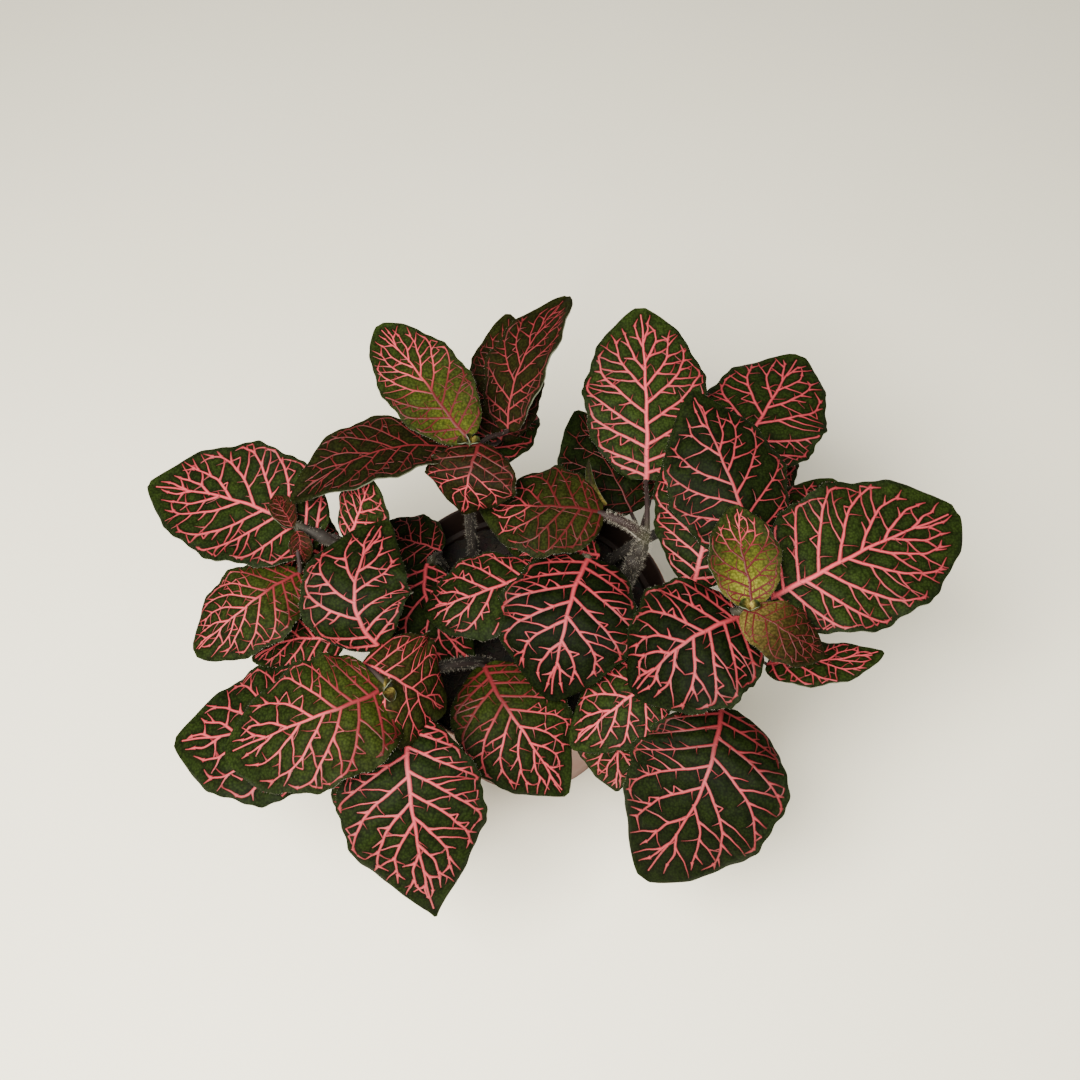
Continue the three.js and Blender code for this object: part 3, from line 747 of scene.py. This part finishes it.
# The net on one side of the midrib. Side veins sweep towards the end. Branches leave their outer side and run
# to the vein below or to the margin, and thin spurs reach a little way into the fields.
def growSide(leaf, rnd, net, side, pairs, middle, size):
    length = leaf["length"]
    spread = (leaf["width"] / veins["fullWidth"]) ** 0.55
    arcs = []
    for k in range(pairs):
        place = max(k + 0.35 * (side > 0) + rnd.uniform(-0.12, 0.12), 0) / (pairs - 0.65)
        arcs.append(growArc(leaf, rnd, veins["firstArc"] + veins["arcSpread"] * place ** veins["arcPower"]))
    placed = [middle] + arcs
    main = np.vstack(placed)
    loose, links = [], []

    def put(path, rank, start, end, taper=False):
        widths = np.linspace(start, end, len(path))
        if rank > 1:
            run = np.arange(len(path)) * veins["step"]
            widths = widths * (1 + veins["flare"] * np.exp(-run / veins["flareReach"]))
        widths = widths * np.array([rnd.uniform(0.88, 1.12) for _ in path])
        if taper:
            widths = widths * np.linspace(1, 0.4 if rank == 2 else 0.1, len(path)) ** 0.5
        net.append({"path": path * np.array([1, side]), "widths": widths * size, "rank": rank})

    def branchOff(parent, at, swing, reach, rank=3, thick=veins["spur"], wall=None):
        heading = headingAt(parent, at) + math.radians(swing)
        wall = np.vstack(placed) if wall is None else wall
        points, met = growBranch(leaf, rnd, alongPath(parent, at), heading, reach * spread, wall)
        if len(points) < 3:
            return None
        line = evenPath(points)
        placed.append(line)
        put(line, rank, thick, thick * 0.8, not met)
        if not met and rank == 2 and len(line) > 3:
            loose.append(line)
        return line

    for arc in arcs:
        wide = veins["side"] * (1.12 - 0.35 * arc[0][0] / length)
        put(arc, 1, wide, wide * 0.6)
    for arc in arcs:
        run = len(arc) * veins["step"]
        at = run * 0.2 + rnd.uniform(*veins["branchStart"])
        late = arc[0][0] / length > veins["late"]
        while at < run - 1.5:
            thick = veins["branch"] * rnd.uniform(0.8, 1.2)
            long = rnd.random() < veins["linkShare"]
            reach = veins["linkReach"] if long else rnd.uniform(*veins["shortReach"])
            swing = veins["branchSwing"] - 12 * at / run + rnd.uniform(-8, 8)
            links.append(branchOff(arc, at / run, swing, reach, 2, thick, main))
            at += rnd.uniform(*veins["branchGap"]) * spread * (1.4 if late else 1)
        for swing in (rnd.choice(veins["lateForks"]),) if late else veins["forks"]:
            swing += rnd.uniform(-9, 9)
            branchOff(arc, 1, swing, rnd.uniform(*veins["forkReach"]), 2, veins["branch"])
    for line in loose:
        s = line[-1][0] / length
        if s > veins["loopEnd"] or rnd.random() < 0.45:
            continue
        slope = (halfWidth(leaf, s + 0.02) - halfWidth(leaf, s - 0.02)) / (0.04 * length)
        points, met = growBranch(leaf, rnd, line[-1], math.atan(slope) - 0.22, veins["loopReach"] * spread,
                                 np.vstack(placed))
        if met and len(points) > 2:
            loop = evenPath(points)
            placed.append(loop)
            put(loop, 2, veins["branch"] * 0.5, veins["branch"] * 0.65)
    for link in links:
        if link is not None and len(link) > 5 and rnd.random() < 0.5:
            at = rnd.uniform(0.3, 0.7)
            swing = rnd.choice(veins["linkSpurs"])
            branchOff(link, at, swing, rnd.uniform(*veins["linkSpurReach"]))
    for arc in arcs + [middle]:
        run = len(arc) * veins["step"]
        at = run * 0.12 + rnd.uniform(0, 4)
        while at < run * 0.85:
            swing = rnd.uniform(50, 75) * (1 if arc is middle else -1)
            branchOff(arc, at / run, swing, rnd.uniform(*veins["spurReach"]))
            at += rnd.uniform(*veins["spurGap"]) * spread


# How far a blade's shading reaches, in millimetres from a vein or shares of the leaf, and how strong it is;
# valley is the strength of the painted shade beside the veins.
shading = {
    "valley": 0.75, "valleyReach": 0.8, "youngReach": 0.48, "paleReach": 0.32,
    "margin": 0.85, "marginStart": 0.84, "marginWidth": 0.12, "brownLeast": 0.55, "youngEdge": 0.55,
}


# The grid of a blade with its quilted relief, and how near each point is to a vein.
def bladeGrid(leaf, net):
    rows = int(np.clip(round(leaf["length"] / blade["cell"]), *blade["rows"]))
    columns = int(np.clip(round(leaf["width"] / blade["cell"]), *blade["columns"])) // 2 * 2
    s, u = np.meshgrid(np.linspace(blade["start"], blade["end"], rows + 1), np.linspace(-1, 1, columns + 1),
                       indexing="ij")
    flat = np.stack([s * leaf["length"], u * halfWidth(leaf, s)], -1).reshape(-1, 2)
    near = np.full(len(flat), 1e3)
    nearMain = near.copy()
    for vein in net:
        gaps = np.linalg.norm(flat[:, None, :] - vein["path"][None], axis=2)
        clear = np.maximum(gaps - vein["widths"][None] / 2, 0).min(1)
        near = np.minimum(near, clear)
        if vein["rank"] < 3:
            nearMain = np.minimum(nearMain, clear)
    near, nearMain = near.reshape(s.shape), nearMain.reshape(s.shape)
    small = min(1.0, leaf["width"] / blade["fullWidth"])
    pucker = blade["pucker"] * small
    relief = pucker * (1 - np.exp(-(nearMain / blade["puckerReach"]) ** 2))
    relief = relief + blade["fineShare"] * pucker * (1 - np.exp(-(near / blade["fineReach"]) ** 2))
    edge = np.clip((np.abs(u) - blade["edgeStart"]) / (1 - blade["edgeStart"]), 0, 1)
    relief = relief * (1 - edge) - blade["edgeDrop"] * small * edge ** 2
    points, normal = leafSurface(leaf, s, u)
    points = points + normal * relief[..., None]
    normal = unit(np.cross(np.gradient(points, axis=1), np.gradient(points, axis=0)))
    look = leaf["look"]
    fade = np.exp(-(s / shading["youngReach"]) ** 2) * (1 - shading["youngEdge"] * u * u)
    values = {
        # Painted shade in the valleys beside the veins.
        "nearVein": np.exp(-(near / shading["valleyReach"]) ** 2) * shading["valley"],
        "young": look["young"] * fade * (1 - look["rimmed"] * u * u),
        "brown": look["brown"] * np.clip(shading["brownLeast"] + fade, 0, 1),
        "margin": np.clip((np.abs(u) - shading["marginStart"]) / shading["marginWidth"], 0, 1)
        * shading["margin"],
        # Painted shade over the whole leaf where it lies in shade, partly the leaf's own darker green.
        "shadeAndTone": np.full(s.shape, look["shadeAndTone"]),
        "pale": np.clip(look["pale"] * np.exp(-(s / shading["paleReach"]) ** 2), 0, 1),
    }
    return {"points": points, "normal": normal, "values": values, "rows": rows, "columns": columns}


# A blade: a grid laid on the leaf's surface, then given its thickness.
def makeBlade(leaf, grid):
    deselectAll()
    bpy.ops.mesh.primitive_grid_add(x_subdivisions=grid["columns"], y_subdivisions=grid["rows"], size=2)
    piece = bpy.context.active_object
    mesh = piece.data
    spots = (meshPlaces(mesh) + 1) / 2
    column = np.rint(spots[:, 0] * grid["columns"]).astype(int)
    row = np.rint(spots[:, 1] * grid["rows"]).astype(int)
    points = grid["points"][row, column] * millimetre
    mesh.vertices.foreach_set("co", points.astype(np.float32).ravel())
    wall = piece.modifiers.new("wall", "SOLIDIFY")
    wall.thickness = blade["thickness"] * min(1, leaf["width"] / blade["slimWidth"]) * millimetre
    wall.offset = 0
    wall.material_offset_rim = 1
    mesh.materials.append(leafBlade)
    mesh.materials.append(leafEdge)
    applyModifiers(piece)
    for key, numbers in grid["values"].items():
        setValues(piece, key, np.tile(numbers[row, column], 2))
    setValues(piece, "under", np.repeat([0.0, 1.0], len(row)))
    return piece


# The skin's points, normals and shares of the leaf's length at flat places.
def gridSample(grid, leaf, flat):
    s = np.clip(flat[:, 0] / leaf["length"], blade["start"], blade["end"])
    u = np.clip(flat[:, 1] / np.maximum(halfWidth(leaf, s), 0.05), -0.985, 0.985)
    row = (s - blade["start"]) / (blade["end"] - blade["start"]) * grid["rows"]
    column = (u + 1) / 2 * grid["columns"]
    i = np.clip(row.astype(int), 0, grid["rows"] - 1)
    j = np.clip(column.astype(int), 0, grid["columns"] - 1)
    p, q = (row - i)[:, None], (column - j)[:, None]

    def blend(field):
        return ((field[i, j] * (1 - p) + field[i + 1, j] * p) * (1 - q)
                + (field[i, j + 1] * (1 - p) + field[i + 1, j + 1] * p) * q)

    return blend(grid["points"]), unit(blend(grid["normal"])), s


# Dark red lies at a leaf's base, in thin veins, near the margin and at a vein's end; at a shaded base and
# over leaves that lie in shade it is painted shade.
redness = {
    "baseWidth": 0.25, "baseStart": 0.2, "baseGain": 1.6, "thin": 0.17, "shaded": 0.62, "margin": 0.3,
    "mainEnd": 0.1, "branchEnd": 0.35,
}


# How dark red a vein is at each of its points, of which the shares of the leaf's length are s.
def veinRedness(leaf, vein, s):
    look, rank = leaf["look"], vein["rank"]
    atBase = np.clip((look["red"] - s) / redness["baseWidth"] + redness["baseStart"], 0, 1)
    atBase = atBase * min(1, look["red"] * redness["baseGain"])
    # Painted shade: every vein of a leaf that lies in shade is drawn dim and dark red.
    overall = max(look["dim"], redness["thin"] * rank, redness["shaded"] * (1 - look["shadeAndTone"]))
    outward = np.abs(vein["path"][:, 1]) / np.maximum(halfWidth(leaf, s), 1)
    ending = np.linspace(0, 1, len(s)) ** 2 * redness["branchEnd" if rank > 1 else "mainEnd"]
    return np.minimum(np.maximum(atBase, overall) + redness["margin"] * outward ** 3 + ending, 1)


# Veins as low ribs that lie in the skin of the blade: a crest between two edges at the skin.
def veinRibs(leaf, net, grid, store):
    for face in (1, -1):
        for vein in net:
            rank = vein["rank"]
            if face < 0 and rank > 1:
                continue
            path, count = vein["path"], len(vein["path"])
            heading = unit(np.gradient(path, axis=0))
            across = np.stack([-heading[:, 1], heading[:, 0]], 1) * vein["widths"][:, None]
            crest = veins["rise"] + (veins["underRise"] * (3 - rank) if face < 0 else 0)
            rows = []
            for place, height in ((-veins["edge"], 0), (-veins["crest"], crest), (veins["crest"], crest),
                                  (veins["edge"], 0)):
                points, normal, s = gridSample(grid, leaf, path + across * place)
                rows.append(points + normal * (face * (blade["thickness"] / 2 + height)))
            first = len(store["points"])
            bright = 1.0 if rank < 3 else veins["spurBright"]
            store["points"] += list(np.stack(rows, 1).reshape(-1, 3) * millimetre)
            store["core"] += [0.0, bright, bright, 0.0] * count
            store["red"] += list(np.repeat(veinRedness(leaf, vein, s), 4))
            store["under"] += [0.0 if face > 0 else 1.0] * (4 * count)
            quads = []
            for i in range(count - 1):
                for k in range(4):
                    a, b = first + 4 * i + k, first + 4 * i + (k + 1) % 4
                    quads.append((a, b, b + 4, a + 4))
            last = first + 4 * (count - 1)
            quads += [(first, first + 3, first + 2, first + 1), (last, last + 1, last + 2, last + 3)]
            store["faces"] += [quad[::-face] for quad in quads]


# Stems and stalks

stem = {
    "points": 160, "depth": 16, "radius": 2.1, "straight": 6, "taper": 0.28, "swell": 0.3, "swellReach": 5,
    "thickest": 1.12, "stalkRadius": 0.85, "stalkPoints": 22, "hairyPoints": 14, "slimWidth": 26,
    "hairGap": 0.13, "hairLength": 1.3, "hairRadius": 0.045, "stalkHair": 0.8, "stalkHairGap": 3.5,
    "hairRoot": 0.92,
    "freshReach": 4.0, "freshShare": 0.1, "flushStart": 2.5, "flushWidth": 4.0, "flushShare": 0.85,
    "lean": 0.35, "leanRise": 8, "buried": 0.18, "thinning": (0.86, 0.45), "tipRounding": (0.85, 0.6, 0.3),
    "graspShares": (0.02, 0.24), "graspDepths": (0.55, 0.75), "arch": 0.12, "stalkTaper": (1.15, 0.45),
    "stalkEnd": (0.85, 0.65, 0.45, 0.2), "firstHair": 0.22,
}
fringe = {"gap": 0.36, "length": 0.55, "radius": 0.03, "fullWidth": 30}
soilTop = 70  # above the floor that the pot stands on


def stemPath(shoot):
    foot = np.array([*shoot["foot"], soilTop - stem["depth"]], float)
    ground = np.array([*shoot["foot"], soilTop + stem["straight"]], float)
    end = placedPoint(shoot["tip"])
    lean = foot + (end - foot) * stem["lean"]
    lean[2] = (soilTop + end[2]) / 2 + stem["leanRise"]
    t = np.linspace(0, 1, 120)[:, None]
    bow = ground * (1 - t) ** 2 + lean * 2 * t * (1 - t) + end * t ** 2
    return evenPoints(np.vstack([foot, bow]), stem["points"])


# The point of a stem's path that a stalk leaves from.
def jointOf(along):
    return int(round((0.5 + along / 2) * (stem["points"] - 1)))


# A stem tapers upwards, swells where a stalk leaves it, and thins towards its tip.
def stemRadii(shoot):
    count = stem["points"]
    steps = np.arange(count)
    radii = stem["radius"] * (1.0 - stem["taper"] * np.linspace(0, 1, count) ** 2)
    for along in [row[1] for row in shoot["leaves"] if row[1] is not None]:
        swell = np.exp(-((steps - jointOf(along)) / stem["swellReach"]) ** 2)
        radii = np.maximum(radii, stem["radius"] * (0.85 + stem["swell"] * swell) * (swell > 0.2))
    radii = np.minimum(radii, stem["radius"] * stem["thickest"])
    radii[: int(stem["buried"] * count)] = stem["radius"] * 0.97
    radii[int(0.5 * count):] *= shoot.get("stout", 1)
    start, least = stem["thinning"]
    radii *= np.interp(steps, [0, start * count, count - 1], [1, 1, least])
    radii[-3:] *= np.array(stem["tipRounding"])
    return radii


# A smooth curve through four points, with its speed set by the distance between them.
def curveThrough(points, count):
    points = np.vstack([2 * points[0] - points[1], points, 2 * points[-1] - points[-2]])
    knots = np.concatenate([[0], np.cumsum(np.linalg.norm(np.diff(points, axis=0), axis=1) ** 0.5)])
    line = []
    for k in range(1, len(points) - 2):
        for t in np.linspace(knots[k], knots[k + 1], 24):
            def mix(a, b, i, j):
                return a * (knots[j] - t) / (knots[j] - knots[i]) + b * (t - knots[i]) / (knots[j] - knots[i])
            a1 = mix(points[k - 1], points[k], k - 1, k)
            a2 = mix(points[k], points[k + 1], k, k + 1)
            a3 = mix(points[k + 1], points[k + 2], k + 1, k + 2)
            line.append(mix(mix(a1, a2, k - 1, k + 1), mix(a2, a3, k, k + 2), k, k + 1))
    return evenPoints(np.array(line), count)


# A stalk arches from the stem to the blade's base, and ends under the midrib.
def stalkPath(trunk, leaf):
    root = trunk[jointOf(leaf["along"])]
    share = np.array(stem["graspShares"])
    spots, normals = leafSurface(leaf, share, share * 0)
    base, under = spots - normals * np.array(stem["graspDepths"])[:, None]
    arch = (root + base) / 2
    arch[2] += stem["arch"] * np.linalg.norm(root - base)
    return curveThrough(np.array([root, arch, base, under]), stem["stalkPoints"])


# Tubes as one curve with a round bevel, turned into a mesh. The first is the trunk: it turns green at its
# tip, and what stands clear of it is flushed.
def makeTubes(name, tubes):
    curve = bpy.data.curves.new(name, "CURVE")
    curve.dimensions = "3D"
    curve.bevel_depth = 1.0
    curve.bevel_resolution = 3
    curve.use_fill_caps = True
    for path, radii in tubes:
        spline = curve.splines.new("POLY")
        spline.points.add(len(path) - 1)
        for point, place, radius in zip(spline.points, path, radii):
            point.co = (*(place * millimetre), 1)
            point.radius = radius * millimetre
    selectOnly(linkPiece(name, curve))
    bpy.ops.object.convert(target="MESH")
    piece = bpy.context.active_object
    places = meshPlaces(piece.data) / millimetre
    trunk = tubes[0][0]
    away = np.linalg.norm(places - trunk[-1], axis=1)
    setValues(piece, "fresh", np.exp(-(away / stem["freshReach"]) ** 2) * stem["freshShare"])
    clear = np.linalg.norm(places[:, None] - trunk[None, ::4], axis=2).min(1)
    flush = np.clip((clear - stem["flushStart"]) / stem["flushWidth"], 0, 1)
    setValues(piece, "flush", flush * stem["flushShare"])
    return piece


# A hair: a closed spike of four faces, whose foot lies across two directions.
def addSpike(store, root, tip, one, other, radius, angle=0.0):
    first = len(store["points"])
    for k in range(3):
        turn = angle + k * 2 * math.pi / 3
        foot = one * math.cos(turn) + other * math.sin(turn)
        store["points"].append((root + foot * radius) * millimetre)
    store["points"].append(tip * millimetre)
    store["faces"] += [(first, first + 1, first + 3), (first + 1, first + 2, first + 3),
                       (first + 2, first, first + 3), (first, first + 2, first + 1)]


# Short stiff hairs that stand out from a tube.
def addHairs(path, radii, gap, length, store, rnd):
    steps = np.linalg.norm(np.diff(path, axis=0), axis=1)
    headings = unit(np.gradient(path, axis=0))
    for i, step in enumerate(steps):
        for _ in range(int(step / gap + rnd.random())):
            place = path[i] + (path[i + 1] - path[i]) * rnd.random()
            heading = headings[i]
            other = unit(np.cross(heading, [0.3, 0.2, 0.93]))
            angle = rnd.uniform(0, 2 * math.pi)
            out = other * math.cos(angle) + np.cross(heading, other) * math.sin(angle)
            aside = np.cross(out, heading)
            root = place + out * radii[i] * stem["hairRoot"]
            swing = heading * rnd.uniform(-0.5, 0.6) + aside * rnd.uniform(-0.5, 0.5)
            tip = root + unit(out + swing) * length * rnd.uniform(0.55, 1.2)
            addSpike(store, root, tip, heading, aside, stem["hairRadius"], angle)


# Down along the margin of a blade: fine short hairs that point out and up.
def addFringe(grid, length, store, rnd):
    for column, inner in ((0, 1), (-1, -2)):
        edge, inside = grid["points"][:, column], grid["points"][:, inner]
        for i in range(1, len(edge) - 1):
            step = edge[i + 1] - edge[i]
            out = unit(edge[i] - inside[i])
            normal = grid["normal"][i, column]
            heading = unit(step)
            for _ in range(int(np.linalg.norm(step) / fringe["gap"] + rnd.random())):
                root = edge[i] + step * rnd.random() + normal * rnd.uniform(-0.2, 0.25)
                lean = heading * rnd.uniform(-0.3, 0.7) + normal * rnd.uniform(-0.2, 0.8)
                tip = root + unit(out + lean) * length * rnd.uniform(0.5, 1.2)
                addSpike(store, root, tip, heading, normal, fringe["radius"])


def makeShoot(shoot, number):
    rnd = random.Random(100 + number)
    name = shoot["name"]
    stout = shoot.get("stout", 1)
    trunk, trunkRadii = stemPath(shoot), stemRadii(shoot)
    ribs = {key: [] for key in ("points", "faces", "core", "red", "under")}
    hairs = {"points": [], "faces": []}
    blades, tubes = [], [(trunk, trunkRadii)]
    for i, row in enumerate(shoot["leaves"]):
        leaf = makeLeaf(row, 1.7 * i + number)
        look, width = leaf["look"], leaf["width"]
        net = growVeins(leaf, rnd)
        if leaf["along"] is None:
            blades.append(makeBlade(leaf, bladeGrid(leaf, net[:1])))
            continue
        grid = bladeGrid(leaf, net)
        blades.append(makeBlade(leaf, grid))
        veinRibs(leaf, net, grid, ribs)
        path = stalkPath(trunk, leaf)
        radii = stem["stalkRadius"] * look["stalk"] * min(1.0, width / stem["slimWidth"])
        foot, thinning = stem["stalkTaper"]
        radii = radii * (foot - thinning * np.linspace(0, 1, len(path)))
        radii[-4:] *= np.array(stem["stalkEnd"])
        tubes.append((path, radii))
        addHairs(path[:stem["hairyPoints"]], radii, stem["hairGap"] * stem["stalkHairGap"] / look["down"],
                 stem["stalkHair"] * look["stalk"], hairs, rnd)
        addFringe(grid, fringe["length"] * min(1, width / fringe["fullWidth"]), hairs, rnd)
    above = int(stem["firstHair"] * len(trunk))
    addHairs(trunk[above:], trunkRadii[above:], stem["hairGap"] / stout ** 3, stem["hairLength"] * stout,
             hairs, rnd)
    leaves = joinPieces(blades, name.replace("stem", "leaves"))
    smooth(leaves, 60)
    finishPiece(leaves, None, [name])
    net = meshPiece(name.replace("stem", "veins"), ribs["points"], ribs["faces"],
                    {key: ribs[key] for key in ("core", "red", "under")})
    smooth(net, 70)
    finishPiece(net, pinkVein)
    wood = makeTubes(name.replace("stem", "stalks"), tubes)
    smooth(wood, 60)
    finishPiece(wood, stemSkin, [name])
    fuzz = meshPiece(name.replace("stem", "hairs"), hairs["points"], hairs["faces"])
    finishPiece(fuzz, plantHair)
    print(name, "made with faces", [len(p.data.polygons) for p in (leaves, net, wood, fuzz)])


for number, shoot in enumerate(shoots):
    makeShoot(shoot, number)


# Soil

soil = {
    "rings": 40, "sides": 150, "gap": 0.3, "crumb": 0.8, "grains": 420, "grainSize": (0.5, 1.5),
    "fibres": 60, "fibreStep": 1.1, "fibreRadius": (0.09, 0.2), "seed": 7,
}


def soilHeight(x, y):
    lumps = np.sin(x * 0.31 + 1.3) * np.cos(y * 0.27 - 0.4) + 0.6 * np.sin(x * 0.17 - y * 0.41)
    return soilTop + lumps - 0.0008 * (x * x + y * y)


def scattered(rnd, reach):
    radius = reach * math.sqrt(rnd.random())
    angle = rnd.uniform(0, 2 * math.pi)
    return radius * math.cos(angle), radius * math.sin(angle)


def makeSoilBody(rnd, edge):
    floor = pot["floor"] + soil["gap"]
    profile = [(0, floor), (innerRadius(floor) - 1, floor), (edge, soilTop)]
    profile += [(edge * (1 - k / soil["rings"]), soilTop) for k in range(1, soil["rings"])]
    profile.append((0, soilTop))
    body = turned("peat_soil", profile, soil["sides"])
    for vertex in body.data.vertices:
        if vertex.co.z > (soilTop - 1) * millimetre:
            x, y = vertex.co.x / millimetre, vertex.co.y / millimetre
            crumbs = 0.5 * math.sin(1.9 * x + 0.7 * y) * math.sin(1.7 * y - 0.9 * x)
            crumbs += rnd.uniform(-0.35, 0.35)
            vertex.co.z = (soilHeight(x, y) + crumbs * soil["crumb"]) * millimetre
    smooth(body)
    return body


def makeCrumbs(rnd, edge):
    grains = []
    for _ in range(soil["grains"]):
        x, y = scattered(rnd, edge * 0.97)
        size = rnd.uniform(*soil["grainSize"])
        grains.append((np.array([x, y, soilHeight(x, y) + size * 0.2]), size))
    deselectAll()
    bpy.ops.mesh.primitive_ico_sphere_add(subdivisions=1, radius=1)
    seedGrain = bpy.context.active_object
    shape = np.array([v.co for v in seedGrain.data.vertices])
    seedFaces = [tuple(p.vertices) for p in seedGrain.data.polygons]
    bpy.data.objects.remove(seedGrain)
    points, faces = [], []
    for place, size in grains:
        first = len(points)
        stretch = np.array([rnd.uniform(0.7, 1.3), rnd.uniform(0.7, 1.3), rnd.uniform(0.45, 0.8)]) * size
        points += [(place + corner * stretch * rnd.uniform(0.8, 1.15)) * millimetre for corner in shape]
        faces += [tuple(first + i for i in face) for face in seedFaces]
    return meshPiece("peat_crumbs", points, faces)


def makeFibres(rnd, edge):
    tubes = []
    for _ in range(soil["fibres"]):
        x, y = scattered(rnd, edge * 0.85)
        heading = rnd.uniform(0, 2 * math.pi)
        path = []
        for k in range(9):
            heading += rnd.uniform(-0.45, 0.45)
            x += soil["fibreStep"] * math.cos(heading)
            y += soil["fibreStep"] * math.sin(heading)
            lift = 0.5 + 1.1 * math.sin(k / 8 * math.pi) * rnd.uniform(0.4, 1.2)
            if math.hypot(x, y) > edge - 1:
                break
            path.append((x, y, soilHeight(x, y) + lift))
        if len(path) > 3:
            tubes.append((np.array(path), np.full(len(path), rnd.uniform(*soil["fibreRadius"]))))
    return makeTubes("peat_fibres", tubes)


def makeSoil():
    rnd = random.Random(soil["seed"])
    edge = innerRadius(soilTop - 3) - soil["gap"]
    body, crumbs, fibres = makeSoilBody(rnd, edge), makeCrumbs(rnd, edge), makeFibres(rnd, edge)
    finishPiece(body, peat, ["soil"])
    finishPiece(crumbs, peat)
    smooth(fibres, 60)
    finishPiece(fibres, stemSkin)


makeSoil()
print("soil made")

deselectAll()
